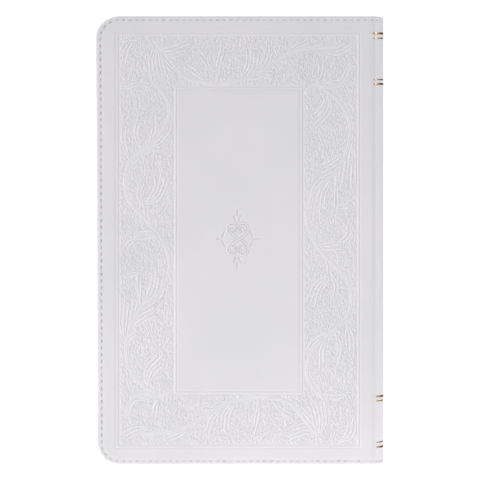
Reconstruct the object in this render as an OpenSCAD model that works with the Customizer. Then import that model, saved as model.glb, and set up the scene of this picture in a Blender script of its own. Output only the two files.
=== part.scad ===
// A bible with a limp leather cover, standing upright on its tail.
// The spine is at +X, the fore-edge at -X, the head at +Z, and the back cover faces -Y.
// The origin is at the middle of the foot of the closed book.

/* [Closed book] */
// Width from the fore-edge of the covers to the crest of the spine
book_w = 138.1; // [130:0.1:145]
// Height from tail to head
book_h = 216; // [200:1:230]
// Thickness across both covers
book_t = 28; // [28:0.5:30]
// How far the rounded spine stands out past the hinges of the covers
spine_rise = 4.5; // [4:0.1:5]
// Radius of the rounded corners at the fore-edge of each cover
cover_corner_r = 10.5; // [8:0.5:12]

/* [Covers] */
// Thickness of the leather
leather_t = 0.9; // [0.8:0.05:1]
// Thickness of the flexible board inside each cover
board_t = 1.4; // [1.2:0.1:1.6]
// Thickness of the endpaper that is pasted down inside each cover
pastedown_t = 0.3; // [0.2:0.05:0.4]
// Width of the leather turn-in that shows around the pasted endpaper
turn_in_w = 3.2; // [2:0.1:5]
// Clearance between each cover and the spine along the hinge
hinge_gap = 0.15; // [0.1:0.05:0.3]

/* [Embossed frames] */
// Margin from the fore-edge to the outer frame
outer_frame_fore = 8.8; // [7:0.1:12]
// Margin from the crest of the spine to the outer frame
outer_frame_spine = 11.6; // [9:0.1:13]
// Margin from the head and the tail to the outer frame
outer_frame_ends = 7.95; // [7:0.05:12]
// Margin from the fore-edge to the inner frame
inner_frame_fore = 38.3; // [32:0.1:42]
// Width of the inner frame
inner_frame_w = 59.2; // [50:0.2:62]
// Margin from the head and the tail to the inner frame
inner_frame_ends = 35.3; // [30:0.1:40]
// Width of the pressed line of each frame
frame_line_w = 0.6; // [0.5:0.1:1.5]
// Depth of the pressed line of each frame
frame_line_d = 0.25; // [0.1:0.05:0.4]
// Width of the flat rim between each pressed line and the sunken border
frame_rim_w = 1.2; // [1:0.1:2]
// Depth of the sunken border between the two frames
border_d = 0.15; // [0.05:0.05:0.3]

/* [Stitching] */
// Distance from the edge to the middle of the row of stitches
stitch_inset = 1.75; // [1.3:0.05:2.5]
// Width of the thread
thread_w = 0.5; // [0.3:0.1:0.8]
// Depth of the groove that the thread lies in
thread_d = 0.3; // [0.2:0.05:0.4]

/* [Foil lines] */
// Distances from each end of the spine to the middle of each foil line
foil_places = [8.3, 10.6, 30.6, 32.7];
// Widths of the same foil lines
foil_widths = [0.95, 0.55, 0.55, 0.95];
// Thickness of the foil
foil_t = 0.05; // [0.03:0.01:0.1]

/* [Text block] */
// Number of sewn sections, half of them on each side of the middle opening
section_count = 16; // [12:2:20]
// Height that each cover stands out past the pages at head and tail
square_h = 3; // [2:0.5:4]
// Width of a page from its fold to its fore-edge
page_w = 130; // [122:0.5:130]
// Radius of the rounded page corners
page_corner_r = 8; // [6:0.5:9]
// Thickness of a single leaf of endpaper or text paper
leaf_t = 0.16; // [0.12:0.01:0.2]
// Half of the space that the loose middle leaves take up
middle_half = 0.45; // [0.4:0.01:0.6]
// Clearance between the two halves of the spine along the fold
fold_gap = 0.03; // [0.02:0.01:0.1]

/* [Spine linings] */
// Thickness of the sewing thread between the sections and the gauze
sewing_t = 0.2; // [0.15:0.05:0.3]
// Thickness of the gauze
gauze_t = 0.2; // [0.15:0.05:0.3]
// Thickness of the paper lining
lining_t = 0.3; // [0.2:0.05:0.4]
// Height of the leather turned in at the head and the tail of the spine
cap_turn_h = 13; // [10:1:16]
// Number of sewing stations up the spine
sewing_stations = 6; // [4:1:8]
// Radius of the woven bead at the head and the tail of the text block
band_r = 0.85; // [0.6:0.05:1]

/* [Hidden] */
$fn = 96;
SLACK = 1;
FILM = 0.01;

// Gaps that keep the leaves and sections clear of their neighbours.
LEAF_GAP = 0.08;
COVER_GAP = 0.1;
SECTION_GAP = 0.03;
FORE_EDGE_GAP = 0.3;

// Where the loose leaves fold, counted along X from the hinges of the covers.
FLYLEAF_FOLD = -1;
BLANK_LEAF_FOLD = -1.2;
MIDDLE_LEAF_FOLD = 2.35;

GAUZE_MARGIN = 5;
STATION_H = 1;

half_w = book_w / 2;
half_t = book_t / 2;
hinge_x = half_w - spine_rise;
cover_end_x = hinge_x - hinge_gap;

// The spine is an arc through both hinges and the crest.
spine_r = (half_t * half_t + spine_rise * spine_rise) / (2 * spine_rise);
spine_x = half_w - spine_r;
lining_r = spine_r - leather_t;
gauze_r = lining_r - lining_t;
sewing_r = gauze_r - gauze_t;
block_r = sewing_r - sewing_t;

// Layers of a cover, counted from the middle of the book.
cover_inner_y = half_t - leather_t - board_t - pastedown_t;
board_inner_y = cover_inner_y + pastedown_t;
board_outer_y = board_inner_y + board_t;
board_end_x = hinge_x - 2 * leather_t;

// Loose leaves beside each cover, and the room that they leave for the sections.
leaf_room = leaf_t + LEAF_GAP;
flyleaf_y = cover_inner_y - COVER_GAP - leaf_t / 2;
blank_leaf_y = flyleaf_y - leaf_room;
section_outer_y = blank_leaf_y - leaf_room + leaf_t / 2;
flyleaf_x = hinge_x + FLYLEAF_FOLD;
blank_leaf_x = hinge_x + BLANK_LEAF_FOLD;
middle_leaf_x = hinge_x + MIDDLE_LEAF_FOLD;
middle_leaf_step = 0.25;

page_z0 = square_h;
page_z1 = book_h - square_h;
section_pitch = (section_outer_y - middle_half) / (section_count / 2);
section_t = section_pitch - SECTION_GAP;
outer_fore_x = -half_w + square_h + FORE_EDGE_GAP;
middle_fore_x = spine_x + block_r - page_w;

SIDES = ["back", "front"];
COVER_PIECES = ["cover_leather", "cover_board", "pastedown", "cover_stitching", "flyleaf", "blank_leaf"];
SPINE_PIECES = ["spine_leather", "spine_foil", "spine_stitching", "spine_lining", "gauze",
    "sewing_thread", "head_band", "tail_band"];

function section_name(i) = str("section_", i < 10 ? "0" : "", i);

// ---- Shared shapes ----

// A flat outline drawn in X and Z, made solid from y0 to y1.
module sheet(y0, y1) {
    translate([0, y1, 0]) rotate([90, 0, 0]) linear_extrude(y1 - y0) children();
}

// A rectangle whose two corners at the fore-edge are round.
module page_outline(x0, x1, z0, z1, r) {
    translate([x0 + r, z0]) square([x1 - x0 - r, z1 - z0]);
    translate([x0, z0 + r]) square([x1 - x0, z1 - z0 - 2 * r]);
    for (z = [z0 + r, z1 - r])
        translate([x0 + r, z]) circle(r);
}

// The outline of a cover, drawn in from its three open edges.
module cover_outline(inset, end_x = cover_end_x) {
    page_outline(-half_w + inset, end_x, inset, book_h - inset, cover_corner_r - inset);
}

// The front half of a rounded layer of the spine.
module spine_arc(r0, r1, z0, z1) {
    translate([spine_x, 0, z0]) linear_extrude(z1 - z0) intersection() {
        difference() {
            circle(r1);
            circle(r0);
        }
        translate([hinge_x - spine_x, fold_gap / 2]) square([spine_r, book_t]);
    }
}

// The front half is drawn; the back half is its mirror image.
module on_side(side) {
    if (side == "back")
        mirror([0, 1, 0]) children();
    else
        children();
}

// ---- Covers ----

module frame_rectangle(fore, spine, ends, grow) {
    translate([-half_w + fore - grow, ends - grow])
        square([book_w - fore - spine + 2 * grow, book_h - 2 * ends + 2 * grow]);
}

module outer_frame(grow) {
    frame_rectangle(outer_frame_fore, outer_frame_spine, outer_frame_ends, grow);
}

module inner_frame(grow) {
    inner_frame_spine = book_w - inner_frame_fore - inner_frame_w;
    frame_rectangle(inner_frame_fore, inner_frame_spine, inner_frame_ends, grow);
}

module pressed_pattern() {
    line = frame_line_w / 2;
    sheet(half_t - border_d, half_t + SLACK) difference() {
        outer_frame(-frame_rim_w);
        inner_frame(frame_rim_w);
    }
    sheet(half_t - frame_line_d, half_t + SLACK) {
        difference() {
            outer_frame(line);
            outer_frame(-line);
        }
        difference() {
            inner_frame(line);
            inner_frame(-line);
        }
    }
}

// A row of stitches round the fore-edge, head and tail.
module stitch_row(y0, y1) {
    sheet(y0, y1) difference() {
        cover_outline(stitch_inset - thread_w / 2);
        cover_outline(stitch_inset + thread_w / 2);
    }
}

module cover_leather() {
    color([0.93, 0.92, 0.93]) difference() {
        sheet(cover_inner_y, half_t) cover_outline(0);
        sheet(board_inner_y, board_outer_y) cover_outline(leather_t, board_end_x);
        sheet(cover_inner_y - SLACK, board_inner_y + FILM) cover_outline(turn_in_w, board_end_x);
        stitch_row(half_t - thread_d, half_t + SLACK);
        pressed_pattern();
    }
}

module cover_board() {
    color([0.8, 0.76, 0.68]) sheet(board_inner_y + FILM, board_outer_y)
        cover_outline(leather_t, board_end_x);
}

module pastedown() {
    color("ivory") sheet(cover_inner_y, board_inner_y) cover_outline(turn_in_w, board_end_x);
}

module cover_stitching() {
    color("white") stitch_row(half_t - thread_d, half_t - foil_t);
}

module leaf(fore_x, fold_x, y) {
    color("ivory") sheet(y - leaf_t / 2, y + leaf_t / 2)
        page_outline(fore_x, fold_x, page_z0, page_z1, page_corner_r);
}

module flyleaf() {
    leaf(outer_fore_x, flyleaf_x, flyleaf_y);
}

module blank_leaf() {
    leaf(outer_fore_x, blank_leaf_x, blank_leaf_y);
}

// ---- Spine ----

module foil_lines(r0, r1) {
    for (i = [0 : len(foil_places) - 1])
        for (z = [foil_places[i], book_h - foil_places[i]])
            spine_arc(r0, r1, z - foil_widths[i] / 2, z + foil_widths[i] / 2);
}

module spine_stitch_rows(r0, r1) {
    for (z = [stitch_inset, book_h - stitch_inset])
        spine_arc(r0, r1, z - thread_w / 2, z + thread_w / 2);
}

module spine_leather() {
    color([0.93, 0.92, 0.93]) {
        difference() {
            spine_arc(lining_r, spine_r, 0, book_h);
            foil_lines(spine_r - foil_t, spine_r + SLACK);
            spine_stitch_rows(spine_r - thread_d, spine_r + SLACK);
        }
        spine_arc(gauze_r, lining_r, 0, cap_turn_h);
        spine_arc(gauze_r, lining_r, book_h - cap_turn_h, book_h);
    }
}

module spine_foil() {
    color("goldenrod") foil_lines(spine_r - foil_t, spine_r);
}

module spine_stitching() {
    color("white") spine_stitch_rows(spine_r - thread_d, spine_r - foil_t);
}

module spine_lining() {
    color("tan") spine_arc(gauze_r, lining_r, cap_turn_h, book_h - cap_turn_h);
}

module gauze() {
    color("whitesmoke") spine_arc(sewing_r, gauze_r, page_z0 + GAUZE_MARGIN, page_z1 - GAUZE_MARGIN);
}

module sewing_thread() {
    station_step = (page_z1 - page_z0) / (sewing_stations + 1);
    color("white") for (z = [page_z0 + station_step : station_step : page_z1 - station_step / 2])
        spine_arc(block_r, sewing_r, z, z + STATION_H);
}

// A woven bead that follows the rounded back of the text block.
module end_band(z) {
    path_r = block_r - band_r;
    first = asin(2 * band_r / path_r) / 4;
    last = asin((section_outer_y - band_r) / path_r);
    color("gold") translate([spine_x, 0, z]) rotate([0, 0, first])
        rotate_extrude(angle = last - first) translate([path_r, 0]) circle(band_r);
}

module head_band() {
    end_band(page_z1 + band_r);
}

module tail_band() {
    end_band(page_z0 - band_r);
}

// ---- Text block ----

// A folded section: flat leaves with a round back at the fold.
// Section 1 lies next to the front cover and the last one next to the back cover.
module section(i) {
    place = (section_count + 1) / 2 - i;
    y = sign(place) * (middle_half + abs(place) * section_pitch);
    fold_r = section_t / 2;
    fold_x = spine_x + sqrt(pow(block_r - fold_r, 2) - y * y);
    fore_x = fold_x + fold_r - page_w;
    color("ivory") {
        sheet(y - fold_r, y + fold_r)
            page_outline(fore_x, fold_x, page_z0, page_z1, page_corner_r);
        translate([fold_x, y, page_z0]) cylinder(r = fold_r, h = page_z1 - page_z0);
    }
}

// A loose leaf at the middle opening; the folds step back so that the leaves can turn.
module middle_leaf(i) {
    step = (i - 2) * middle_leaf_step;
    leaf(middle_fore_x, middle_leaf_x + step, step);
}

// ---- The assembled book ----

for (side = SIDES)
    on_side(side) {
        cover_leather();
        cover_board();
        pastedown();
        cover_stitching();
        flyleaf();
        blank_leaf();
        spine_leather();
        spine_foil();
        spine_stitching();
        spine_lining();
        gauze();
        sewing_thread();
        head_band();
        tail_band();
    }
for (i = [1 : 3])
    middle_leaf(i);
for (i = [1 : section_count])
    section(i);
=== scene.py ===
"""Looks of the white leather bible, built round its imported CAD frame.

Shapes are worked out in millimetres and scaled to metres as each mesh is made. A place on the cover is
given by s, the distance round the book's cross-section from the back cover's fore-edge to the front
cover's, and by z, the height above the tail.
"""
import math

import bpy
import numpy as np
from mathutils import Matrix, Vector


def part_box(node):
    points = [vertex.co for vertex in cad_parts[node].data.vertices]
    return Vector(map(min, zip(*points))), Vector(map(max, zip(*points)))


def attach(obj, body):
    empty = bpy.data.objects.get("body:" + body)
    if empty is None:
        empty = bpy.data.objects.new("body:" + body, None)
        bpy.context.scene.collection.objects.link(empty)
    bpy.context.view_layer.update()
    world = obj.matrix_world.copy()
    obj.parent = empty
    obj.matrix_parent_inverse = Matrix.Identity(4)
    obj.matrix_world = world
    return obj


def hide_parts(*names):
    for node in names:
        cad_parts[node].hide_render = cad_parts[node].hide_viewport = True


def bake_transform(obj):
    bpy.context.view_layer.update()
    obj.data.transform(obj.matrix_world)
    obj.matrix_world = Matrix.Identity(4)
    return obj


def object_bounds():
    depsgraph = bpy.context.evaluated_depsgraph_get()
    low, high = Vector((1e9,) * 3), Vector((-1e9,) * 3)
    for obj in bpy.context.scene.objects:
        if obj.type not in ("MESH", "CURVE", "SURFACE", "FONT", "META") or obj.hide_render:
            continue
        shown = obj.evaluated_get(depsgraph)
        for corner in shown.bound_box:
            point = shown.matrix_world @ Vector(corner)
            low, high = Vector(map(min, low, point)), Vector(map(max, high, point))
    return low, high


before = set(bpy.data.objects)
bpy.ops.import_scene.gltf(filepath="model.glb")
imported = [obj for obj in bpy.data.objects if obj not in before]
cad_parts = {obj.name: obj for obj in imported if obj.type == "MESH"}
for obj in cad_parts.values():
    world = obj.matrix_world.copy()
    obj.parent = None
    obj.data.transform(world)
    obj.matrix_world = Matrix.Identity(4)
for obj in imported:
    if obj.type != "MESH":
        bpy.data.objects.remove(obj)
cad_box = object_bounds()

MM = 0.001
rng = np.random.default_rng(27)

# ---- Sizes, in millimetres, taken from the frame or repeated from the CAD design ----

BOOK_W = (cad_box[1].x - cad_box[0].x) / MM
BOOK_T = (cad_box[1].y - cad_box[0].y) / MM
BOOK_H = (cad_box[1].z - cad_box[0].z) / MM
HALF_W = BOOK_W / 2
HALF_T = BOOK_T / 2
SPINE_RISE = 4.5
HINGE_X = HALF_W - SPINE_RISE
SPINE_R = (HALF_T**2 + SPINE_RISE**2) / (2 * SPINE_RISE)
SPINE_X = HALF_W - SPINE_R
COVER_CORNER_R = 10.5
COVER_T = 2.6
SPINE_T = 1.2
BLOCK_R = SPINE_R - 1.6
PAGE_W = 130.0
PAGE_CORNER_R = 8.0
PAGE_Z0 = 3.0
PAGE_Z1 = BOOK_H - PAGE_Z0
BAND_R = 0.85

# Embossed frames: margins from the cover's edges, as in the CAD design.
OUTER_FRAME = (8.8 - HALF_W, HALF_W - 11.6, 7.95, BOOK_H - 7.95)
INNER_FRAME = (38.3 - HALF_W, 97.5 - HALF_W, 35.3, BOOK_H - 35.3)
FRAME_RIM = 1.2
FRAME_LINE_DEPTH = 0.17
FRAME_LINE_HALF = 0.3

# The pattern between the frames, and the ornament in the middle. It is pressed deeper at the tail.
PATTERN_X = (OUTER_FRAME[0] + OUTER_FRAME[1]) / 2
PATTERN_Z = BOOK_H / 2
FIELD_DROP = 0.27
RELIEF = 0.43
PRESS_TILT = 0.12
FOLIAGE_MOAT = 1.7
ORNAMENT_DEPTH = 0.38
ORNAMENT_MOAT = 1.25

# The stitches lie a little farther in along the fore-edge than at head and tail.
STITCH_INSET = 1.75
FORE_EDGE_EXTRA = 0.35
STITCH_PITCH = 3.23
STITCH_GROOVE = 0.12
THREAD_R = 0.2

# Distance of each foil line from the end of the spine, and its width.
FOIL_LINES = ((8.3, 0.95), (10.6, 0.55), (30.6, 0.55), (32.7, 0.95))

# Lengths round the cross-section. The crease beside the spine runs slightly aslant.
FLAT_S = HINGE_X + HALF_W
CREST_S = FLAT_S + SPINE_R * math.asin(HALF_T / SPINE_R)
END_S = 2 * CREST_S
SEAM_S = FLAT_S + 5.7
CREASE_TAIL_S = FLAT_S + 1.4
CREASE_HEAD_S = FLAT_S - 0.9
CREASE_DEPTH = 0.08


# ---- Camera, light and stage ----

# A long lens far away, square on to the back cover, where it sees FRAME_WIDTH from side to side.
LENS = 300.0
SENSOR = 36.0
FRAME_WIDTH = 231.3
CAMERA_X = -0.45
CAMERA_Z = 108.2


def make_camera():
    data = bpy.data.cameras.new("camera")
    data.lens = LENS
    data.sensor_width = SENSOR
    data.clip_end = 100
    camera = bpy.data.objects.new("camera", data)
    bpy.context.scene.collection.objects.link(camera)
    distance = FRAME_WIDTH * LENS / SENSOR + HALF_T
    camera.location = (CAMERA_X * MM, -distance * MM, CAMERA_Z * MM)
    camera.rotation_euler = (math.pi / 2, 0, 0)
    bpy.context.scene.camera = camera


def add_area_light(name, place, size, power, target=(0, 0, 0.11)):
    """A round soft light. Place, size and target are in metres and power is in watts."""
    data = bpy.data.lights.new(name, "AREA")
    data.shape = "DISK"
    data.size = size
    data.energy = power
    light = bpy.data.objects.new(name, data)
    bpy.context.scene.collection.objects.link(light)
    light.location = place
    light.rotation_euler = (Vector(target) - Vector(place)).to_track_quat("-Z", "Y").to_euler()


def make_world():
    """White to the camera, and a softer white as light."""
    world = bpy.data.worlds.new("studio")
    bpy.context.scene.world = world
    world.use_nodes = True
    tree = world.node_tree
    tree.nodes.clear()
    path = tree.nodes.new("ShaderNodeLightPath")
    soft = tree.nodes.new("ShaderNodeBackground")
    soft.inputs["Color"].default_value = (0.97, 0.98, 1.0, 1)
    soft.inputs["Strength"].default_value = 0.4
    white = tree.nodes.new("ShaderNodeBackground")
    white.inputs["Color"].default_value = (1, 1, 1, 1)
    white.inputs["Strength"].default_value = 1.05
    mix = tree.nodes.new("ShaderNodeMixShader")
    out = tree.nodes.new("ShaderNodeOutputWorld")
    tree.links.new(path.outputs["Is Camera Ray"], mix.inputs[0])
    tree.links.new(soft.outputs[0], mix.inputs[1])
    tree.links.new(white.outputs[0], mix.inputs[2])
    tree.links.new(mix.outputs[0], out.inputs[0])


def make_floor():
    bpy.ops.mesh.primitive_plane_add(size=1.6, location=(0, 0, -0.00002))
    floor = bpy.context.object
    floor.name = "floor"
    m = bpy.data.materials.new("floor")
    m.use_nodes = True
    shader = m.node_tree.nodes["Principled BSDF"]
    shader.inputs["Base Color"].default_value = (0.86, 0.86, 0.86, 1)
    shader.inputs["Roughness"].default_value = 0.9
    shader.inputs["Emission Color"].default_value = (1, 1, 1, 1)
    shader.inputs["Emission Strength"].default_value = 0.62
    floor.data.materials.append(m)


bpy.context.scene.view_settings.view_transform = "Standard"
make_camera()
make_world()
make_floor()
add_area_light("key", (-10.6, -6.0, 10.6), 2.4, 1072)
add_area_light("spine_fill", (4.2, 0.45, 1.0), 1.4, 38)


# ---- Materials ----


class Nodes:
    """Short calls for building one material's node tree."""

    def __init__(self, name):
        self.material = bpy.data.materials.new(name)
        self.material.use_nodes = True
        self.tree = self.material.node_tree
        self.shader = self.tree.nodes["Principled BSDF"]

    def link(self, source, target):
        self.tree.links.new(source, target)

    def add(self, kind, **values):
        node = self.tree.nodes.new("ShaderNode" + kind)
        for key, value in values.items():
            if hasattr(node, key):
                setattr(node, key, value)
            else:
                self.feed(node.inputs[key.replace("_", " ")], value)
        return node

    def feed(self, socket, value):
        if isinstance(value, bpy.types.NodeSocket):
            self.link(value, socket)
        else:
            socket.default_value = value

    def math(self, operation, *values):
        node = self.tree.nodes.new("ShaderNodeMath")
        node.operation = operation
        for socket, value in zip(node.inputs, values):
            self.feed(socket, value)
        return node.outputs[0]

    def place(self, attribute=None):
        """Where a point lies at rest, in metres."""
        if attribute:
            return self.add("Attribute", attribute_name=attribute).outputs["Vector"]
        return self.add("TexCoord").outputs["Object"]

    def stretch(self, place, scale):
        return self.add("Mapping", Vector=place, Scale=scale).outputs["Vector"]

    def noise(self, place, scale, detail=3.0, rough=0.5):
        return self.add("TexNoise", Vector=place, Scale=scale, Detail=detail, Roughness=rough).outputs["Fac"]

    def ramp(self, fac, low, high, start=0.0, end=1.0):
        node = self.add("ValToRGB", Fac=fac)
        for stop, colour, at in zip(node.color_ramp.elements, (low, high), (start, end)):
            stop.color = (*colour, 1)
            stop.position = at
        return node.outputs["Color"]

    def mix(self, fac, first, second, blend="MIX"):
        node = self.tree.nodes.new("ShaderNodeMix")
        node.data_type = "RGBA"
        node.blend_type = blend
        self.feed(node.inputs[0], fac)
        self.feed(node.inputs[6], first)
        self.feed(node.inputs[7], second)
        return node.outputs[2]

    def bump(self, height, distance, strength=1.0):
        return self.add("Bump", Height=height, Distance=distance, Strength=strength).outputs["Normal"]

    def finish(self, **values):
        for key, value in values.items():
            self.feed(self.shader.inputs[key.replace("_", " ")], value)
        return self.material


def leather_material():
    """Smooth white faux leather: fine grain and soft sheen, with painted shade in the needle holes and
    painted light over the embossing, both from the shade attribute.
    """
    m = Nodes("white_leather")
    place = m.place("rest")
    shade = m.add("Attribute", attribute_name="shade").outputs["Fac"]
    cloud = m.noise(place, 22.0, 4.0)
    base = m.ramp(cloud, (0.775, 0.76, 0.78), (0.82, 0.8, 0.82), 0.3, 0.7)
    colour = m.mix(1.0, base, shade, "MULTIPLY")
    pores = m.add("TexVoronoi", Vector=place, Scale=1500.0, feature="SMOOTH_F1").outputs["Distance"]
    wrinkle = m.noise(place, 420.0, 5.0, 0.6)
    grain = m.bump(m.math("ADD", pores, wrinkle), 0.00003, 0.35)
    rough = m.math("MULTIPLY_ADD", wrinkle, 0.14, 0.4)
    return m.finish(Base_Color=colour, Roughness=rough, Normal=grain, Sheen_Weight=0.08, Sheen_Roughness=0.4)


def thread_material(name, attribute, low, high, twist=900.0):
    """Twisted thread: slanting strands with loose fibres."""
    m = Nodes(name)
    place = m.place(attribute)
    wave = m.add("TexWave", Vector=place, Scale=twist, Distortion=0.6, bands_direction="DIAGONAL")
    wave = wave.outputs["Fac"]
    fibre = m.noise(place, 3200.0, 3.0, 0.7)
    colour = m.mix(0.5, m.ramp(wave, low, high), m.ramp(fibre, low, high, 0.3, 0.7))
    return m.finish(Base_Color=colour, Roughness=0.72, Normal=m.bump(wave, 0.00008, 0.7), Sheen_Weight=0.25)


def foil_material(name, low, high, streak, sheen=(1, 1, 1), painted_crest_shade=None):
    """Stamped or burnished gold, with fine streaks that break up its gloss.

    sheen tints its gloss at a grazing angle, and the last colour darkens it towards the spine's crest:
    painted shade where the foil curves away from the light.
    """
    m = Nodes(name)
    place = m.place("rest")
    lines = m.noise(m.stretch(place, streak), 1.0, 4.0, 0.6)
    patches = m.noise(place, 240.0, 4.0, 0.65)
    colour = m.mix(0.5, m.ramp(lines, low, high, 0.3, 0.7), m.ramp(patches, low, high, 0.3, 0.75))
    # Painted shade: the foil's colour darkens past the crease towards the spine's crest, where it turns away
    # from the light.
    if painted_crest_shade:
        x = m.add("SeparateXYZ", Vector=place).outputs[0]
        past_crease = m.math("DIVIDE", m.math("SUBTRACT", x, HINGE_X * MM), SPINE_RISE * MM)
        colour = m.mix(1.0, colour, m.ramp(past_crease, (1, 1, 1), painted_crest_shade, 0.4, 0.8), "MULTIPLY")
    rough = m.math("MULTIPLY_ADD", lines, 0.25, 0.2)
    normal = m.bump(lines, 0.00002, 0.5)
    return m.finish(
        Base_Color=colour, Metallic=1.0, Roughness=rough, Normal=normal, Specular_Tint=(*sheen, 1)
    )


def paper_material(name, attribute, low, high):
    """Matte paper or board: soft clouds and fine fibres."""
    m = Nodes(name)
    place = m.place(attribute)
    fibre = m.noise(m.stretch(place, (900.0, 900.0, 2400.0)), 1.0, 5.0, 0.6)
    cloud = m.noise(place, 60.0, 3.0)
    colour = m.mix(0.35, m.ramp(cloud, low, high, 0.3, 0.7), m.ramp(fibre, low, high, 0.3, 0.7))
    return m.finish(Base_Color=colour, Roughness=0.85, Normal=m.bump(fibre, 0.00003, 0.4))


# The printed page, in metres: its line pitch, its columns and the height that they fill.
PRINT_PITCH = 0.0031
PRINT_MIDDLE = -0.0015
COLUMN_GAP_HALF = 0.0025
COLUMNS_HALF_WIDTH = 0.052
COLUMNS_HALF_HEIGHT = 0.093


def printed_page_material():
    """Thin cream paper with two columns of grey lines, broken like words but with no letters."""
    m = Nodes("printed_page")
    place = m.place("rest")
    x, _, z = m.add("SeparateXYZ", Vector=place).outputs
    fibre = m.noise(m.stretch(place, (900.0, 900.0, 2400.0)), 1.0, 5.0, 0.6)
    paper = m.ramp(fibre, (0.79, 0.75, 0.66), (0.86, 0.83, 0.75), 0.25, 0.75)
    line = m.math("DIVIDE", z, PRINT_PITCH)
    in_line = m.math("GREATER_THAN", m.math("FRACT", line), 0.52)
    word_at = m.add("CombineXYZ", X=m.math("MULTIPLY", x, 330.0), Y=m.math("FLOOR", line), Z=3.7).outputs[0]
    words = m.add("TexNoise", Vector=word_at, Scale=1.7, Detail=0.0).outputs["Fac"]
    in_word = m.math("GREATER_THAN", words, 0.4)
    off_middle = m.math("ABSOLUTE", m.math("SUBTRACT", x, PRINT_MIDDLE))
    past_gap = m.math("GREATER_THAN", off_middle, COLUMN_GAP_HALF)
    in_column = m.math("LESS_THAN", off_middle, COLUMNS_HALF_WIDTH)
    above_middle = m.math("ABSOLUTE", m.math("SUBTRACT", z, BOOK_H / 2 * MM))
    in_height = m.math("LESS_THAN", above_middle, COLUMNS_HALF_HEIGHT)
    ink = m.math("MULTIPLY", m.math("MULTIPLY", in_line, in_word), m.math("MULTIPLY", past_gap, in_column))
    ink = m.math("MULTIPLY", m.math("MULTIPLY", ink, in_height), 0.62)
    colour = m.mix(ink, paper, (0.12, 0.115, 0.11, 1))
    return m.finish(Base_Color=colour, Roughness=0.82, Normal=m.bump(fibre, 0.00002, 0.4))


def gauze_material():
    """Open weave under glue."""
    m = Nodes("gauze")
    place = m.place()
    y, z = m.add("SeparateXYZ", Vector=place).outputs[1:3]
    warp = m.math("SINE", m.math("MULTIPLY", y, 5200.0))
    weft = m.math("SINE", m.math("MULTIPLY", z, 5200.0))
    weave = m.math("MAXIMUM", warp, weft)
    colour = m.ramp(weave, (0.5, 0.46, 0.38), (0.84, 0.82, 0.76), 0.1, 0.8)
    return m.finish(Base_Color=colour, Roughness=0.85, Normal=m.bump(weave, 0.00012, 0.8))


# Each pair of colours is the darkest and the lightest that a material has.
LEATHER = leather_material()
THREAD = thread_material("stitch_thread", "rest", (0.8, 0.79, 0.82), (0.9, 0.89, 0.91))
BAND_GOLD = thread_material("band_gold", "rest", (0.6, 0.42, 0.16), (0.86, 0.68, 0.36), 1400.0)
BAND_WHITE = thread_material("band_white", "rest", (0.78, 0.76, 0.74), (0.92, 0.91, 0.9), 1400.0)
# The gold foil gets painted shade towards the spine's crest.
FOIL = foil_material(
    "gold_foil", (0.54, 0.37, 0.18), (0.82, 0.63, 0.39), (300.0, 300.0, 2600.0),
    sheen=(0.2, 0.13, 0.08), painted_crest_shade=(0.6, 0.5, 0.4),
)
GILDING = foil_material("page_gilding", (0.68, 0.47, 0.18), (0.9, 0.72, 0.4), (60.0, 9000.0, 60.0))
ENDPAPER = paper_material("endpaper", "rest", (0.82, 0.8, 0.76), (0.88, 0.865, 0.83))
TEXT_PAPER = paper_material("text_paper", "rest", (0.79, 0.75, 0.66), (0.86, 0.83, 0.75))
PRINTED = printed_page_material()


# ---- Meshes ----


class Soup:
    """Points and four-sided faces gathered from many small shapes into one mesh."""

    def __init__(self):
        self.points = []
        self.quads = []
        self.kinds = []
        self.count = 0

    def add(self, points, quads, kind=0):
        points = np.asarray(points, float)
        quads = np.asarray(quads, int)
        self.points.append(points)
        self.quads.append(quads + self.count)
        self.kinds.append(np.broadcast_to(np.asarray(kind), (len(quads),)))
        self.count += len(points)

    def piece(self, name, materials, slot, smooth=True):
        points, quads, kinds = np.vstack(self.points), np.vstack(self.quads), np.concatenate(self.kinds)
        return make_piece(name, points, quads, materials, kinds, smooth)


def make_piece(name, points, quads, materials, kinds=None, smooth=True, shade=None):
    """A mesh object from points in millimetres. Each point keeps its place at rest, for the material.

    kinds gives each face's material, and shade multiplies the colour at each point.
    """
    mesh = bpy.data.meshes.new(name)
    mesh.vertices.add(len(points))
    mesh.vertices.foreach_set("co", (points * MM).astype(np.float32).ravel())
    mesh.loops.add(4 * len(quads))
    mesh.loops.foreach_set("vertex_index", quads.astype(np.int32).ravel())
    mesh.polygons.add(len(quads))
    mesh.polygons.foreach_set("loop_start", np.arange(0, 4 * len(quads), 4, dtype=np.int32))
    mesh.polygons.foreach_set("use_smooth", np.full(len(quads), smooth))
    if kinds is not None:
        mesh.polygons.foreach_set("material_index", kinds.astype(np.int32))
    rest = mesh.attributes.new("rest", "FLOAT_VECTOR", "POINT")
    rest.data.foreach_set("vector", (points * MM).astype(np.float32).ravel())
    if shade is not None:
        mesh.attributes.new("shade", "FLOAT", "POINT").data.foreach_set("value", shade.astype(np.float32))
    for material in materials:
        mesh.materials.append(material)
    mesh.update(calc_edges=True)
    obj = bpy.data.objects.new(name, mesh)
    bpy.context.scene.collection.objects.link(obj)
    return obj


def grid_quads(rows, columns):
    """Faces of a grid whose points are listed row by row."""
    i = np.arange(rows - 1)[:, None] * columns + np.arange(columns - 1)[None, :]
    return np.stack([i, i + 1, i + columns + 1, i + columns], -1).reshape(-1, 4)


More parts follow.
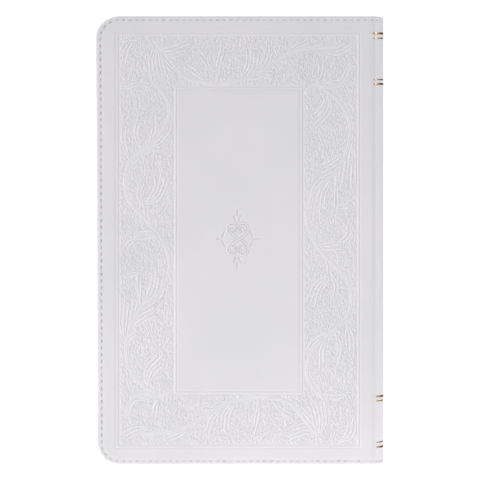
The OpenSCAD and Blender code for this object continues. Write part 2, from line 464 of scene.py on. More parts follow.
def tube(path, radii, sides=6):
    """Points and faces of a tube along a path, with a radius for each of its points."""
    path = np.asarray(path, float)
    along = np.gradient(path, axis=0)
    along /= np.linalg.norm(along, axis=1)[:, None]
    guide = np.array([0.31, 0.86, 0.4])
    side = np.cross(along, guide)
    side /= np.linalg.norm(side, axis=1)[:, None]
    up = np.cross(side, along)
    turn = np.linspace(0, 2 * np.pi, sides, endpoint=False)
    ring = side[:, None] * np.cos(turn)[None, :, None] + up[:, None] * np.sin(turn)[None, :, None]
    points = path[:, None] + ring * np.asarray(radii, float)[:, None, None]
    i = np.arange(len(path) - 1)[:, None] * sides + np.arange(sides)[None, :]
    j = np.arange(len(path) - 1)[:, None] * sides + (np.arange(sides)[None, :] + 1) % sides
    return points.reshape(-1, 3), np.stack([i, j, j + sides, i + sides], -1).reshape(-1, 4)


# ---- Cross-section of the cover ----

PATH_STEP = 0.05
PATH_PAD = 6.0
ROUNDING = 1.1


def build_cross_section():
    """Fore-edge of the back cover to fore-edge of the front one, with the two shoulders rounded."""
    s = np.arange(-PATH_PAD, END_S + PATH_PAD, PATH_STEP)
    half = np.minimum(s, END_S - s)
    angle = (CREST_S - half) / SPINE_R
    on_arc = half > FLAT_S
    x = np.where(on_arc, SPINE_X + SPINE_R * np.cos(angle), half - HALF_W)
    y = np.where(on_arc, -SPINE_R * np.sin(angle), -HALF_T) * np.where(s > CREST_S, -1, 1)
    reach = int(4 * ROUNDING / PATH_STEP)
    kernel = np.exp(-0.5 * (np.arange(-reach, reach + 1) * PATH_STEP / ROUNDING) ** 2)
    kernel /= kernel.sum()
    x = np.convolve(x, kernel, "same")
    y = np.convolve(y, kernel, "same")
    keep = slice(reach, -reach)
    return s[keep], x[keep], y[keep], np.gradient(x, s)[keep], np.gradient(y, s)[keep]


SECTION = build_cross_section()

# How far the fore-edge stands out at the head, and how far in from the edge that reaches.
FLARE = 0.9
FLARE_REACH = 8.0


def soft_step(distance, width):
    """A smooth rise from 0 to 1 over a width, with its middle where the distance is 0."""
    t = np.clip(distance / width + 0.5, 0, 1)
    return t * t * (3 - 2 * t)


def on_cover(s, z, drop):
    """Points on the cover at s and z, sunk by drop below its smooth outer face.

    The leather's fore-edges aren't cut quite square: they stand out a little farther at the head.
    """
    x, y, tx, ty = (np.interp(s, SECTION[0], v) for v in SECTION[1:])
    size = np.hypot(tx, ty)
    half = np.minimum(s, END_S - s)
    flare = FLARE * (z / BOOK_H) ** 2 * soft_step(FLARE_REACH / 2 - half, FLARE_REACH)
    return np.stack([x - ty / size * drop - flare, y + tx / size * drop, z], -1)


# ---- Embossed pattern ----


def smooth_curve(points, count):
    """A smooth curve through a few given points."""
    p = np.asarray(points, float)
    p = np.vstack([2 * p[0] - p[1], p, 2 * p[-1] - p[-2]])
    t = np.linspace(0, len(p) - 3 - 1e-6, count)
    i = t.astype(int)
    f = (t - i)[:, None]
    a, b, c, d = p[i], p[i + 1], p[i + 2], p[i + 3]
    return 0.5 * (2 * b + (c - a) * f + (2 * a - 5 * b + 4 * c - d) * f**2 + (3 * b - a - 3 * c + d) * f**3)


class Engraver:
    """Draws strokes on a grid of heights, 0 at the ground and 1 at the top of a stroke."""

    def __init__(self, u, v, moat):
        self.u, self.v, self.moat = u, v, moat
        self.height = np.zeros((len(v), len(u)))

    def stroke(self, line, widths, top=1.0, vein=0.0):
        """A rounded ridge with a thin moat round it, which keeps it clear of the strokes below it."""
        line = np.asarray(line, float)
        widths = np.broadcast_to(np.asarray(widths, float), (len(line),))
        reach = widths.max() * self.moat
        i0, i1 = np.searchsorted(self.u, [line[:, 0].min() - reach, line[:, 0].max() + reach])
        j0, j1 = np.searchsorted(self.v, [line[:, 1].min() - reach, line[:, 1].max() + reach])
        if i0 == i1 or j0 == j1:
            return
        pu, pv = self.u[None, i0:i1], self.v[j0:j1, None]
        best = np.full((j1 - j0, i1 - i0), 9.0)
        for (a, b), (c, d), wa, wb in zip(line[:-1], line[1:], widths[:-1], widths[1:]):
            du, dv = c - a, d - b
            t = np.clip(((pu - a) * du + (pv - b) * dv) / (du * du + dv * dv + 1e-9), 0, 1)
            away = np.hypot(pu - a - t * du, pv - b - t * dv)
            best = np.minimum(best, away / np.maximum(wa + (wb - wa) * t, 0.05))
        shape = top * np.clip(1 - best**2, 0, 1) ** 0.7
        if vein:
            shape *= 1 - vein * np.exp(-((best / 0.3) ** 2))
        block = self.height[j0:j1, i0:i1]
        block *= np.clip((best - 1) / (self.moat - 1), 0, 1)
        np.maximum(block, shape, out=block)

    def both_ways(self, line, widths, top=1.0, vein=0.0):
        """A stroke and its copy turned half way round the middle of the cover."""
        self.stroke(line, widths, top, vein)
        self.stroke(-np.asarray(line, float), widths, top, vein)

    def leaflet(self, base, angle, length, curl, width, top):
        """A narrow curved leaf that swells past its stalk and ends in a point."""
        steps = 6
        t = np.linspace(0, 1, steps + 1)
        heading = angle + curl * t
        step = length / steps
        u = base[0] + np.concatenate([[0], np.cumsum(np.cos(heading[:-1]))]) * step
        v = base[1] + np.concatenate([[0], np.cumsum(np.sin(heading[:-1]))]) * step
        swell = width * (0.35 + np.sin(np.pi * t**0.8)) / 1.35
        self.both_ways(np.stack([u, v], -1), swell, top)

    def sheaf(self, points, strands, pitch=1.65, width=0.42):
        """Long strands that leave one place together, run side by side and end one after another."""
        count = 24
        middle = smooth_curve(points, count)
        along = np.gradient(middle, axis=0)
        side = np.stack([-along[:, 1], along[:, 0]], -1) / np.linalg.norm(along, axis=1)[:, None]
        share = np.linspace(0, 1, count)
        spread = pitch * (np.minimum(1, share / 0.4) ** 0.7 + 0.5 * share**4)
        for k in rng.permutation(strands):
            line = middle + side * ((k - (strands - 1) / 2) * spread)[:, None]
            last = count - rng.integers(0, 6)
            widths = width * np.minimum(1, (share[last - 1] - share[:last]) * 6 + 0.3)
            self.both_ways(line[:last], widths, 0.9)


# Winding stems, in millimetres across and up from the middle of the outer frame.
LEFT_STEM = [
    (-41, 76), (-36.5, 71.5), (-33.6, 66), (-33.4, 60), (-36, 53.5), (-42, 46.8), (-47.5, 42.3), (-53, 36),
    (-54.5, 28), (-52.5, 19), (-44, 9.5), (-37.5, 2), (-33.5, -8), (-33.5, -16), (-38, -25), (-46.5, -32.5),
    (-52, -42), (-54, -52), (-52.5, -61), (-46, -69.5), (-38, -75),
]
TOP_STEM = [
    (-40, 95.5), (-34.5, 89.5), (-29.5, 83), (-24, 78), (-14, 75.8), (-4, 76), (8, 80), (17, 85.5),
    (25, 90), (32, 92.3), (39, 93), (47, 93.2),
]
CORNER_SCROLL = [(-33.5, -73.2), (-37.5, -75.2), (-43, -73.8), (-49, -75), (-52.8, -78.8), (-54, -85)]
STEM_HALF_WIDTH = 0.8

# Each sheaf: where its middle strand starts, bends and ends, and how many strands it has.
SHEAVES = [
    ((-39, 93), (-33, 90.5), (-18, 95.5), 4),
    ((-39.5, 92), (-33.5, 84), (-25, 76.5), 2),
    ((-39, 94), (-39.3, 85), (-36.5, 74), 5),
    ((-49, 96.5), (-53.5, 94), (-56, 87), 3),
    ((-54, 73), (-48, 75.5), (-41, 74.5), 2),
    ((-16.5, 77), (-21.5, 82), (-29, 86), 2),
    ((-10, 77), (-9, 86), (-6, 96), 2),
    ((1.5, 78), (6.5, 84), (7.5, 96), 4),
    ((7.5, 81), (12.5, 86), (15, 95), 2),
    ((24, 91), (29, 94), (36, 96.5), 2),
    ((4, 78), (9, 78.8), (14, 80.5), 2),
    ((10.5, 80), (14, 80), (18.5, 79.5), 3),
    ((43, 76.3), (50, 77), (54.5, 85), 2),
    ((43, 90.5), (49, 91.5), (56, 95.5), 3),
    ((-43, 47), (-40.5, 53), (-40.5, 62), 2),
    ((-47, 44.5), (-49, 52), (-46.5, 61), 2),
    ((-52, 38.5), (-55, 48), (-54.5, 58), 2),
    ((-43, 44.5), (-37, 48.5), (-33, 54), 2),
    ((-45, 16), (-47.5, 22), (-46, 29), 2),
    ((-44, 17.5), (-38.5, 23), (-35.5, 33), 4),
    ((-42, 8), (-44, 12), (-44, 17), 2),
    ((-38.5, 2.5), (-44, 2.8), (-51, 1.8), 3),
    ((-48.5, 0.5), (-52.5, -1.5), (-55.5, -8), 2),
    ((-47.5, -31), (-47.5, -20), (-47.5, -12), 2),
    ((-47.5, -15.5), (-50, -16.2), (-54, -17), 2),
    ((-45.5, -31), (-39.5, -24.5), (-36.8, -12), 5),
    ((-54.5, -47), (-53.5, -38), (-52, -24), 5),
    ((-52, -42), (-46, -36.5), (-36, -31.5), 4),
    ((-54.5, -52), (-51.5, -46.3), (-44.5, -43), 2),
    ((-43.5, -70), (-42, -62.5), (-34, -55), 4),
    ((-38, -76), (-40, -82), (-40, -90), 2),
]


def frame_distance(u, v, rectangle):
    """Distance inside a rectangle's outline, negative outside it."""
    x0, x1, z0, z1 = rectangle
    across = np.minimum(u - (x0 - PATTERN_X), (x1 - PATTERN_X) - u)
    up = np.minimum(v - (z0 - PATTERN_Z), (z1 - PATTERN_Z) - v)
    return np.minimum(across[None, :], up[:, None])


LEAFLET_PITCH = 0.7
LEAFLET_JITTER = 0.3
LEAFLET_HALF_WIDTH = 0.38
LEAFLET_TOP = 0.78


def scatter_leaflets(engraver, field):
    """Small curled leaflets, mostly upright, wherever the ground is still bare."""
    for v in np.arange(0.4, engraver.v[-1], LEAFLET_PITCH):
        for u in np.arange(engraver.u[0], engraver.u[-1], LEAFLET_PITCH):
            at = np.array([u, v]) + rng.uniform(-LEAFLET_JITTER, LEAFLET_JITTER, 2)
            i, j = np.searchsorted(engraver.u, at[0]), np.searchsorted(engraver.v, at[1])
            if j >= len(engraver.v) - 3 or i >= len(engraver.u) - 3 or not field[j, i]:
                continue
            if engraver.height[j - 1:j + 2, i - 1:i + 2].max() > 0.05:
                continue
            heading = math.pi / 2 + 0.55 * math.sin(at[0] * 0.3 + at[1] * 0.15) + rng.normal(0, 0.3)
            heading += math.pi * rng.integers(2)
            length, curl = rng.uniform(1.3, 2.8), rng.uniform(-0.9, 0.9)
            engraver.leaflet(at, heading, length, curl, LEAFLET_HALF_WIDTH, LEAFLET_TOP)


def draw_foliage(engraver, field):
    """Leaflets at the back, sheaves of strands over them, and the winding stems on top."""
    scatter_leaflets(engraver, field)
    for *points, strands in SHEAVES:
        engraver.sheaf(points, strands)
    for stem in (LEFT_STEM, TOP_STEM, CORNER_SCROLL):
        line = smooth_curve(stem, 12 * len(stem))
        engraver.both_ways(line, STEM_HALF_WIDTH, top=0.9, vein=0.9)


# The ornament's middle, and the place, radii and angles of its ribbons' volutes.
ORNAMENT_AT = (-0.15, 0.8)
VOLUTE_AT = (-2.2, 5.1)
VOLUTE_R = 2.55
VOLUTE_INNER_R = 1.05
VOLUTE_END = math.radians(215)
VOLUTE_TURN = 5.8

# Depths and heights of its strokes, as shares of ORNAMENT_DEPTH.
RIBBON_GROOVE = 0.6
RIBBON_RIDGE = 1.7
LEAF_GROOVE = 0.95


def ribbon_scroll(side):
    """An S-shaped ribbon with a volute at each end, for the ornament in the middle."""
    turn = np.linspace(1, 0, 30)
    angle = VOLUTE_END - VOLUTE_TURN * turn
    radius = VOLUTE_R + (VOLUTE_INNER_R - VOLUTE_R) * turn
    volute = np.stack([VOLUTE_AT[0] + radius * np.cos(angle), VOLUTE_AT[1] + radius * np.sin(angle)], -1)
    middle = smooth_curve([volute[-1], (-3.3, 2.4), (-1.8, 1.1), (0, 0)], 14)[1:]
    half = np.vstack([volute, middle])
    whole = np.vstack([half, -half[-2::-1]])
    return whole * (side, 1)


# Small pressed leaves of the ornament: start, heading in degrees, length and half width.
ORNAMENT_LEAVES = [
    ((0, 11.0), 90, 3.5, 0.6),
    ((-0.5, 8.4), 112, 3.4, 0.6),
    ((0.5, 8.4), 68, 3.4, 0.6),
    ((7.6, 0), 0, 2.9, 0.42),
    ((7.4, 0.8), 112, 3.4, 0.38),
    ((7.4, -0.8), -112, 3.4, 0.38),
]


def draw_ornament(engraver):
    """Two crossing ribbons with leaf tips, small and generic. Each ribbon is a pair of ridges in a groove."""
    ridges = Engraver(engraver.u, engraver.v, ORNAMENT_MOAT)
    for side in (1, -1):
        line = ribbon_scroll(side)
        ends = np.minimum(np.arange(len(line)), np.arange(len(line))[::-1])
        widths = np.interp(ends, (0, 20), (0.5, 1.05))
        engraver.stroke(line, widths * 1.45, RIBBON_GROOVE)
        ridges.stroke(line, widths, top=1.0, vein=0.95)
        for x, z in (line[0], line[-1]):
            ridges.stroke([(x, z), (x + 0.01, z)], 0.75)
    for base, heading, length, width in ORNAMENT_LEAVES:
        engraver.leaflet(base, math.radians(heading), length, 0.0, width, LEAF_GROOVE)
    return engraver.height - RIBBON_RIDGE * ridges.height


# How much lighter than plain leather the sunken field, its raised strokes and the ribbons look: painted light
# over the embossing, with a little painted shade in the ornament's grooves.
FIELD_LIGHTER = 0.035
RAISED_LIGHTER = 0.08
RIBBON_LIGHTER = 0.06


def emboss(u, v):
    """How far the cover is pressed in at each point of a grid, and the painted light on its colour there:
    lighter over the field, its strokes and the ribbons' ridges, a little darker in the ornament's grooves.
    """
    outer = frame_distance(u, v, OUTER_FRAME)
    inner = -frame_distance(u, v, INNER_FRAME)
    depth = np.minimum(outer, inner)
    foliage = Engraver(u, v, FOLIAGE_MOAT)
    draw_foliage(foliage, depth > FRAME_RIM + 0.8)
    ornament = Engraver(u - ORNAMENT_AT[0], v - ORNAMENT_AT[1], ORNAMENT_MOAT)
    pressed = draw_ornament(ornament) * (inner < -3)
    raised = foliage.height * soft_step(depth - FRAME_RIM - 0.7, 0.5)
    raised *= 1 - PRESS_TILT * v[:, None] / PATTERN_Z
    drop = FIELD_DROP * soft_step(depth - FRAME_RIM, 0.5) - RELIEF * raised
    for line in (outer, inner):
        drop += FRAME_LINE_DEPTH * np.exp(-((line / FRAME_LINE_HALF) ** 4))
    # Painted highlight: the field, the raised strokes and the ribbons' ridges are lightened in colour, and
    # the ornament's grooves a little darkened as painted shade.
    painted_light = FIELD_LIGHTER * (depth > FRAME_RIM) + RAISED_LIGHTER * raised
    return drop + ORNAMENT_DEPTH * pressed, painted_light - RIBBON_LIGHTER * np.minimum(pressed, 0.15)


# ---- Leather ----

# Grid lines over the leather: close together at an edge, then wide apart, then even over the pattern.
EDGE_LINES = [0, 0.05, 0.16, 0.34, 0.58, 0.86, 1.12, 1.38, 1.62, 1.86, 2.1, 2.34, 2.6]
MARGIN_STEP = 0.5
MARGIN_END = 8.3
GRID_STEP = 0.28

# Lines that each frame gets, measured in from it, and how far they keep from the others.
FRAME_STEPS = np.array([-0.42, -0.28, -0.14, 0, 0.14, 0.28, 0.42, 0.9, 1.08, 1.2, 1.32, 1.5])
FRAME_CLEARANCE = 0.12


def margin_lines():
    """Grid lines from an edge, over the rolled leather and the stitches, to the start of the even ones."""
    return np.concatenate([EDGE_LINES, np.arange(2.9, MARGIN_END - 0.1, MARGIN_STEP)])


def fit_frame_lines(lines, low_lines, high_lines):
    """Sets close grid lines along both sides of the frames in place of the even ones there."""
    exact = [at + FRAME_STEPS for at in low_lines] + [at - FRAME_STEPS for at in high_lines]
    exact = np.sort(np.concatenate(exact))
    clear = np.abs(lines[:, None] - exact[None, :]).min(1) > FRAME_CLEARANCE
    return np.sort(np.concatenate([lines[clear], exact]))


Z_LINES = fit_frame_lines(
    np.concatenate([
        margin_lines(), np.arange(MARGIN_END, BOOK_H - MARGIN_END + 0.2, GRID_STEP),
        BOOK_H - margin_lines()[::-1],
    ]),
    (OUTER_FRAME[2], INNER_FRAME[3]), (INNER_FRAME[2], OUTER_FRAME[3]),
)
PANEL_LINES = fit_frame_lines(
    np.concatenate([
        margin_lines(), np.arange(MARGIN_END, OUTER_FRAME[1] + HALF_W + 0.9, GRID_STEP),
        np.arange(FLAT_S - 6.2, FLAT_S - 2.1, 0.8), np.linspace(FLAT_S - 1.7, SEAM_S, 22),
    ]),
    (OUTER_FRAME[0] + HALF_W, INNER_FRAME[1] + HALF_W), (INNER_FRAME[0] + HALF_W, OUTER_FRAME[1] + HALF_W),
)
SPINE_LINES = np.linspace(SEAM_S, END_S - SEAM_S, 49)


def edge_thickness(s):
    """The cover is thick over its board and thin over the spine."""
    past_board = np.minimum(s, END_S - s) - (FLAT_S - 0.35)
    return COVER_T + (SPINE_T - COVER_T) * soft_step(past_board, 4.5)


def round_corner(s, z):
    """Bends the square corner of a grid into the cover's round corner."""
    r = COVER_CORNER_R
    a = np.clip((r - s) / r, 0, 1)
    low = np.clip((r - z) / r, 0, 1)
    high = np.clip((r - (BOOK_H - z)) / r, 0, 1)
    b = low + high
    new_a = a * np.sqrt(1 - b * b / 2)
    new_b = b * np.sqrt(1 - a * a / 2)
    s = np.where(a > 0, r - new_a * r, s)
    z = np.where(low > 0, r - new_b * r, z)
    return s, np.where(high > 0, BOOK_H - r + new_b * r, z)


def outline_distance(s, z):
    """Distance in from the nearest open edge of the cover."""
    r = COVER_CORNER_R
    end = np.minimum(z, BOOK_H - z)
    corner = r - np.hypot(r - s, r - end)
    return np.where((s < r) & (end < r), corner, np.minimum(s, end))


def stitch_holes():
    """The row of needle holes from the crest at the tail, round the fore-edge, to the crest at the head."""
    r = COVER_CORNER_R
    corner = np.linspace(-math.pi / 2, -math.pi, 25)
    reach_s, reach_z = r - STITCH_INSET - FORE_EDGE_EXTRA, r - STITCH_INSET
    low = np.stack([r + reach_s * np.cos(corner), r + reach_z * np.sin(corner)], -1)
    high = np.stack([low[::-1, 0], BOOK_H - low[::-1, 1]], -1)
    route = np.vstack([[(CREST_S, STITCH_INSET)], low, high, [(CREST_S, BOOK_H - STITCH_INSET)]])
    run = np.concatenate([[0], np.cumsum(np.hypot(*np.diff(route, axis=0).T))])
    count = round(run[-1] / STITCH_PITCH)
    at = np.linspace(0, run[-1], count + 1)
    return np.stack([np.interp(at, run, route[:, 0]), np.interp(at, run, route[:, 1])], -1)


def stitch_inset(s, z):
    """How far the row of stitches lies in from the edge: a little farther along the fore-edge."""
    across = np.maximum(COVER_CORNER_R - s, 0) ** 2
    up = np.maximum(COVER_CORNER_R - np.minimum(z, BOOK_H - z), 0) ** 2
    return STITCH_INSET + FORE_EDGE_EXTRA * across / (across + up + 1e-9)


HOLES = stitch_holes()

# A needle hole: half its length and width, how far off it still counts, its depth and its painted shade.
HOLE_LENGTH = 0.8
HOLE_WIDTH = 0.3
HOLE_REACH = 4.5
HOLE_DEPTH = 0.45
HOLE_SHADE = 0.45


def pierce(s_lines, z_lines, s, z):
    """How deep in a needle hole each point is, from 0 to 1. The holes are longer along the row."""
    depth = np.zeros(s.shape)
    headings = np.gradient(HOLES, axis=0)
    headings /= np.linalg.norm(headings, axis=1)[:, None]
    strengths = np.where(np.abs(headings[:, 0]) > 0.9, 0.5, 0.8) + rng.uniform(-0.15, 0.15, len(HOLES))
    for (hole_s, hole_z), (run_s, run_z), strength in zip(HOLES, headings, strengths):
        for place, turn in ((hole_s, 1), (END_S - hole_s, -1)):
            i0, i1 = np.searchsorted(s_lines, [place - HOLE_REACH, place + HOLE_REACH])
            j0, j1 = np.searchsorted(z_lines, [hole_z - HOLE_REACH, hole_z + HOLE_REACH])
            if i0 < i1 and j0 < j1:
                window = np.s_[j0:j1, i0:i1]
                ds, dz = (s[window] - place) * turn, z[window] - hole_z
                along = (ds * run_s + dz * run_z) / HOLE_LENGTH
                across = (dz * run_s - ds * run_z) / HOLE_WIDTH
                depth[window] = np.maximum(depth[window], strength * np.exp(-(along**4) - across**2))
    return depth


EDGE_R = 0.75
SPINE_EDGE_R = 0.55


def edge_radius(s):
    """The rolled edge is rounder along the covers than over the spine."""
    return np.where(np.minimum(s, END_S - s) > FLAT_S + 1.9, SPINE_EDGE_R, EDGE_R)


def leather_drop(s_lines, s, z):
    """How far the rolled edge, the stitches and the crease sink the leather, and where the holes are."""
    half = np.minimum(s, END_S - s)
    inset = outline_distance(half, z)
    radius = edge_radius(s)
    short = np.clip(radius - inset, 0, radius)
    drop = radius - np.sqrt(np.maximum(radius**2 - short**2, 0))
    drop += STITCH_GROOVE * np.exp(-(((inset - stitch_inset(half, z)) / 0.5) ** 2))
    crease = CREASE_TAIL_S + (CREASE_HEAD_S - CREASE_TAIL_S) * z / BOOK_H
    drop += CREASE_DEPTH * np.exp(-(((half - crease) / 0.7) ** 2))
    holes = pierce(s_lines, Z_LINES, s, z)
    return drop + HOLE_DEPTH * holes, holes


# How far the leather is turned in under the endpaper.
TURN_IN = 6.0


def wrap_edges(points, boundary, inward, s_edge, z_edge):
    """Rings of points that carry the leather round its open edges and in under the endpaper."""
    thick, radius = edge_thickness(s_edge), edge_radius(s_edge)
    rings = [(0 * radius, thick - radius)]
    for angle in np.linspace(0, math.pi / 2, 5)[1:]:
        rings.append((radius * (1 - math.cos(angle)), thick - radius * (1 - math.sin(angle))))
    for share in (0.2, 0.6, 1.0):
        rings.append((radius + share * (TURN_IN - radius), thick))
    faces, count, made = [], len(points), [points]
    previous = boundary
    for inset, drop in rings:
        ring = on_cover(s_edge + inward[:, 0] * inset, z_edge + inward[:, 1] * inset, drop)
        ids = np.arange(count, count + len(ring))
        faces.append(np.stack([previous[:-1], ids[:-1], ids[1:], previous[1:]], -1))
        made.append(ring)
        previous = ids
        count += len(ring)
    return np.vstack(made), np.vstack(faces)


def inward_normals(s, z):
    """Unit vectors from the cover's outline in towards its middle."""
    r = COVER_CORNER_R
    end = np.minimum(z, BOOK_H - z)
    up = np.where(z < BOOK_H / 2, 1.0, -1.0)
    corner = (s < r) & (end < r)
    n_s = np.where(corner, (r - s) / r, np.where(s < 0.01, 1.0, 0.0))
    n_z = np.where(corner, (r - end) / r * up, np.where(s < 0.01, 0.0, up))
    return np.stack([n_s, n_z], -1)


def make_panel(pattern, lighter):
    """The leather over the back cover and the first part of the spine."""
    s, z = np.meshgrid(PANEL_LINES, Z_LINES)
    s, z = round_corner(s, z)
    drop, holes = leather_drop(PANEL_LINES, s, z)
    drop += pattern
    points = on_cover(s.ravel(), z.ravel(), drop.ravel())
    rows, columns = s.shape
    index = np.arange(rows * columns).reshape(rows, columns)
    boundary = np.concatenate([index[0, ::-1], index[1:, 0], index[-1, 1:]])
    s_edge, z_edge = s.ravel()[boundary], z.ravel()[boundary]
    points, wrap = wrap_edges(points, boundary, inward_normals(s_edge, z_edge), s_edge, z_edge)
    shade = np.ones(len(points))
    # Painted light over the embossing, and painted shade in the needle holes.
    shade[: rows * columns] += lighter.ravel() - HOLE_SHADE * holes.ravel()
    return points, np.vstack([grid_quads(rows, columns), wrap[:, ::-1]]), shade


def make_leather():
    """Three pieces: a panel for each cover and the strip of spine between them."""
    s, z = PANEL_LINES - HALF_W - PATTERN_X, Z_LINES - PATTERN_Z
    points, quads, shade = make_panel(*emboss(s, z))
    mirrored = points * (1, -1, 1)
    back = make_piece("back_leather", points, quads, [LEATHER], shade=shade)
    front = make_piece("front_leather", mirrored, quads[:, ::-1], [LEATHER], shade=shade)
    s, z = np.meshgrid(SPINE_LINES, Z_LINES)
    drop, holes = leather_drop(SPINE_LINES, s, z)
    points = on_cover(s.ravel(), z.ravel(), drop.ravel())
    index = np.arange(s.size).reshape(s.shape)
    # Painted shade in the needle holes.
    shade = [1 - HOLE_SHADE * holes.ravel()]
    quads = [grid_quads(*s.shape)]
    for row, up, flip in ((0, 1.0, -1), (-1, -1.0, 1)):
        edge = index[row]
        inward = np.tile((0.0, up), (len(edge), 1))
        points, wrap = wrap_edges(points, edge, inward, s[row], z[row])
        quads.append(wrap[:, ::flip])
    shade.append(np.ones(len(points) - s.size))
    spine = make_piece(
        "spine_leather", points, np.vstack(quads), [LEATHER], shade=np.concatenate(shade)
    )
    return back, front, spine


# ---- Pieces that lie across the joints, baked into place ----


def bend_at_hinge(obj):
    """Bakes the placement of a piece between a cover and its half of the spine into its mesh; it is not bent.
    """
    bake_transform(obj)


def bend_at_crest(obj):
    """Bakes the placement of a piece between the two halves of the spine into its mesh; it is not bent."""
    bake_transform(obj)


back_leather, front_leather, spine_leather = make_leather()
bend_at_hinge(back_leather)
bend_at_hinge(front_leather)
bend_at_crest(spine_leather)
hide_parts("back_cover_leather")
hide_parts("front_cover_leather")
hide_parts("back_spine_leather", "front_spine_leather")


# ---- Stitches and foil ----


# A thread comes up from this deep in one needle hole, rises this far, and goes down into the next hole.
STITCH_SINK = 0.4
STITCH_RISE = 0.42


def make_stitches():
    """One short thread between each two needle holes, in a row for each cover and one for the spine."""
    soups = {"back": Soup(), "front": Soup(), "spine": Soup()}
    share = np.linspace(0.15, 0.85, 9)
    rise = STITCH_RISE * np.sin(np.pi * (share - 0.15) / 0.7) ** 0.5 - STITCH_SINK
    radii = THREAD_R * np.array([0.15, 0.8, 1, 1, 1, 1, 1, 0.8, 0.15])
    for first, second in zip(HOLES[:-1], HOLES[1:]):
        line = first + (second - first) * share[:, None]
        wander = rng.normal(0, 0.035)
        for mirror in (False, True):
            s = END_S - line[:, 0] if mirror else line[:, 0]
            path = on_cover(s, line[:, 1] + wander, STITCH_GROOVE - rise)
            middle = min(s[4], END_S - s[4])
            part = "spine" if middle > SEAM_S else ("front" if mirror else "back")
            soups[part].add(*tube(path, radii))
    for part, soup in soups.items():
        obj = soup.piece(part + "_stitches", [THREAD], "stitch_thread")
        if part == "spine":
            bend_at_crest(obj)
            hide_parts("back_spine_stitching", "front_spine_stitching")
        else:
            bend_at_hinge(obj)
            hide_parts(part + "_cover_stitching")


# How far the foil lines bow up at the crest, at tail and head.
TAIL_BOW = 0.08
HEAD_BOW = 0.5

# Rows of points across a stamped line, as shares of its width, with the depth of each below the leather.
FOIL_ROWS = [(-0.5, 0.04), (-0.5, -0.02), (-0.42, -0.035), (0.42, -0.035), (0.5, -0.02), (0.5, 0.04)]


def make_foil():
    """Pairs of gold lines stamped across the spine, from crease to crease and bowed up in between."""
    spans = {"back": (None, SEAM_S), "spine": (SEAM_S, END_S - SEAM_S), "front": (END_S - SEAM_S, None)}
    for part, (low, high) in spans.items():
        soup = Soup()
        for place, width in FOIL_LINES:
            for z in (place, BOOK_H - place):
                crease = CREASE_TAIL_S + (CREASE_HEAD_S - CREASE_TAIL_S) * z / BOOK_H + 0.1
                s = np.linspace(crease if low is None else low, END_S - crease if high is None else high, 40)
                bow = TAIL_BOW if z < BOOK_H / 2 else HEAD_BOW
                middle = z + bow * np.sin(np.pi * (s - crease) / (END_S - 2 * crease))
                strips = [on_cover(s, middle + width * across, drop) for across, drop in FOIL_ROWS]
                soup.add(np.vstack(strips), grid_quads(len(FOIL_ROWS), len(s)))
        obj = soup.piece(part + "_foil_lines", [FOIL], "gold_foil")
        if part == "spine":
            bend_at_crest(obj)
            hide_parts("back_spine_foil", "front_spine_foil")
        else:
            bend_at_hinge(obj)


make_stitches()
make_foil()


# ---- Paper ----


def page_columns(x_fore, x_fold, radius, inner):
    """Column places across a leaf: along the round corners, then evenly or close together at the fold."""
    arc = x_fore + radius * (1 - np.cos(np.linspace(0, math.pi / 2, 9)))
    share = np.linspace(0, 1, inner + 1)[1:]
    return np.concatenate([arc, arc[-1] + (x_fold - arc[-1]) * (1 - (1 - share) ** 1.6)])


def add_slab(soup, columns, radius, y0, y1, z0, z1, kinds):
    """A closed thin slab with round corners at the fore-edge. kinds are for its two faces and its edge."""
    short = radius - np.sqrt(np.maximum(radius**2 - np.maximum(radius - (columns - columns[0]), 0) ** 2, 0))
    low, high = z0 + short, z1 - short
    n = len(columns)
    rows = [
        np.stack([columns, np.full(n, y), z], -1) for y, z in ((y0, low), (y0, high), (y1, low), (y1, high))
    ]
    a, b, c, d = (np.arange(n - 1) + row * n for row in range(4))
    near = np.stack([a, a + 1, b + 1, b], -1)
    far = np.stack([c, d, d + 1, c + 1], -1)
    tail = np.stack([a, c, c + 1, a + 1], -1)
    head = np.stack([b, b + 1, d + 1, d], -1)
    ends = np.array([[0, n, 3 * n, 2 * n], [n - 1, 3 * n - 1, 4 * n - 1, 2 * n - 1]])
    kind = np.concatenate([
        np.full(n - 1, kinds[0]), np.full(n - 1, kinds[1]), np.full(2 * (n - 1) + 2, kinds[2]),
    ])
    soup.add(np.vstack(rows), np.vstack([near, far, tail, head, ends]), kind)


def fold_x(y):
    """Where the rounded back of the text block is, at y."""
    return SPINE_X + math.sqrt(BLOCK_R**2 - y * y)


LEAVES_IN_SECTION = 6
LEAF_GAP = 0.012

# How far each leaf's fore-edge, and its tail and head, may be out of line.
FORE_EDGE_SPREAD = 0.05
END_SPREAD = 0.02

# Order of a section's materials.
PAPER, EDGE, PRINT = 0, 1, 2


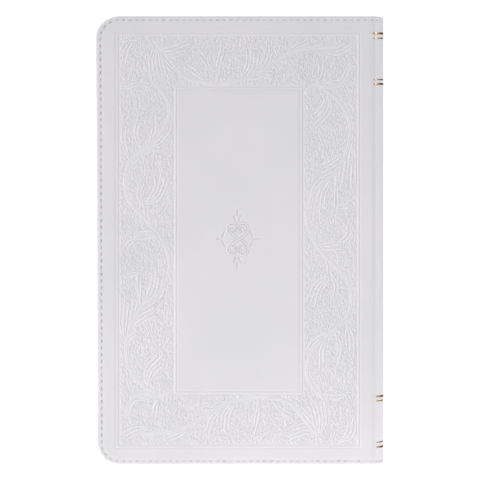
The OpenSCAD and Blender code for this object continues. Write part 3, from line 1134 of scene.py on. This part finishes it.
def make_sections():
    """Each sewn section is a stack of folded leaves, with gilt edges that don't quite line up."""
    count = sum(name.startswith("section_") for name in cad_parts)
    for number in range(1, count + 1):
        node = f"section_{number:02d}"
        low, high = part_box(node)
        y0, y1 = low.y / MM, high.y / MM
        middle, reach = (y0 + y1) / 2, (y1 - y0) / 2
        pitch = (y1 - y0) / LEAVES_IN_SECTION
        soup = Soup()
        for k in range(LEAVES_IN_SECTION):
            a, b = y0 + k * pitch, y0 + (k + 1) * pitch - LEAF_GAP
            y = (a + b) / 2
            tuck = reach - math.sqrt(max(reach**2 - (y - middle) ** 2, 0))
            x_fold = fold_x(y) - tuck - 0.05
            x_fore = fold_x(y) - PAGE_W + rng.normal(0, FORE_EDGE_SPREAD)
            faces = [PAPER, PAPER]
            if number == count // 2 and k == 0:
                faces[0] = PRINT
            if number == count // 2 + 1 and k == LEAVES_IN_SECTION - 1:
                faces[1] = PRINT
            add_slab(
                soup, page_columns(x_fore, x_fold, PAGE_CORNER_R, 4), PAGE_CORNER_R, a, b,
                PAGE_Z0 + rng.normal(0, END_SPREAD), PAGE_Z1 + rng.normal(0, END_SPREAD), (*faces, EDGE),
            )
        obj = soup.piece(f"leaves_{number:02d}", [TEXT_PAPER, GILDING, PRINTED], "text_paper", smooth=False)
        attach(obj, "front_half" if number <= count // 2 else "back_half")
        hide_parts(node)


def make_leaf(name, node, material, slot):
    """One loose leaf, a flat slab with round corners at the fore-edge."""
    low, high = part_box(node)
    columns = page_columns(low.x / MM, high.x / MM, PAGE_CORNER_R, 34)
    soup = Soup()
    add_slab(soup, columns, PAGE_CORNER_R, low.y / MM, high.y / MM, PAGE_Z0, PAGE_Z1, (0, 0, 1))
    obj = soup.piece(name, [material, GILDING], slot, smooth=False)
    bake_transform(obj)
    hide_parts(node)


PASTEDOWN_CORNER_R = 7.3


def make_pastedown(side):
    """The endpaper glued inside a cover, a flat slab out to the hinge."""
    low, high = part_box(side + "_pastedown")
    columns = page_columns(low.x / MM, HINGE_X, PASTEDOWN_CORNER_R, 60)
    soup = Soup()
    add_slab(soup, columns, PASTEDOWN_CORNER_R, low.y / MM, high.y / MM, low.z / MM, high.z / MM, (0, 0, 0))
    obj = soup.piece(side + "_endpaper", [ENDPAPER], "endpaper", smooth=False)
    bend_at_hinge(obj)
    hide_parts(side + "_pastedown")


make_sections()
for number in (1, 2, 3):
    leaf = f"middle_leaf_{number}"
    make_leaf(f"loose_leaf_{number}", leaf, PRINTED, "text_paper")
for side in ("back", "front"):
    make_pastedown(side)
    for kind in ("flyleaf", "blank_leaf"):
        node = f"{side}_{kind}"
        make_leaf(f"{side}_free_{kind}", node, ENDPAPER, "endpaper")


# ---- Woven bands at head and tail ----

BAND_TURNS = 26
BAND_THREAD_R = 0.19

# Where the first and the last thread lie, in from the ends of the band.
BAND_ENDS = (0.2, 0.6)


def make_band(side, end):
    """Two colours of thread wound in turn round a cord, along the rounded back of the text block."""
    node = f"{side}_{end}_band"
    low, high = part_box(node)
    sign = -1 if side == "back" else 1
    z = (low.z + high.z) / 2 / MM
    path_r = BLOCK_R - BAND_R
    near, far = sorted((abs(low.y) / MM, abs(high.y) / MM))
    first, last = (math.asin(y / path_r) for y in (near + BAND_ENDS[0], far - BAND_ENDS[1]))
    soup = Soup()
    core = np.linspace(first, last, 24)
    path = np.stack([SPINE_X + path_r * np.cos(core), sign * path_r * np.sin(core), np.full(24, z)], -1)
    soup.add(*tube(path, np.full(24, BAND_R - 0.3), 10), 0)
    for k in range(BAND_TURNS):
        wind = np.linspace(0, 2 * np.pi, 13)
        angle = first + (last - first) * (k + 0.15 + 0.6 * wind / (2 * np.pi)) / BAND_TURNS
        radius = path_r + (BAND_R - 0.2) * np.cos(wind)
        lift = (BAND_R - 0.2) * np.sin(wind)
        path = np.stack([SPINE_X + radius * np.cos(angle), sign * radius * np.sin(angle), z + lift], -1)
        soup.add(*tube(path, np.full(13, BAND_THREAD_R)), k % 2)
    obj = soup.piece(f"{side}_{end}_woven_band", [BAND_GOLD, BAND_WHITE], "band_thread")
    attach(obj, side + "_half")
    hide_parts(node)


for side in ("back", "front"):
    for end in ("head", "tail"):
        make_band(side, end)


# ---- CAD pieces that stay, with their own materials ----


def dress(node, material):
    """Gives a shown CAD piece its material."""
    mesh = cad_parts[node].data
    mesh.materials.clear()
    mesh.materials.append(material)


BOARD = paper_material("cover_board", None, (0.5, 0.43, 0.34), (0.66, 0.59, 0.49))
LINING = paper_material("lining_paper", None, (0.5, 0.4, 0.27), (0.64, 0.54, 0.4))
GAUZE = gauze_material()
SEWING = thread_material("sewing_thread", None, (0.8, 0.77, 0.7), (0.92, 0.9, 0.85), 1200.0)
for side in ("back", "front"):
    dress(side + "_cover_board", BOARD)
    dress(side + "_spine_lining", LINING)
    dress(side + "_gauze", GAUZE)
    dress(side + "_sewing_thread", SEWING)
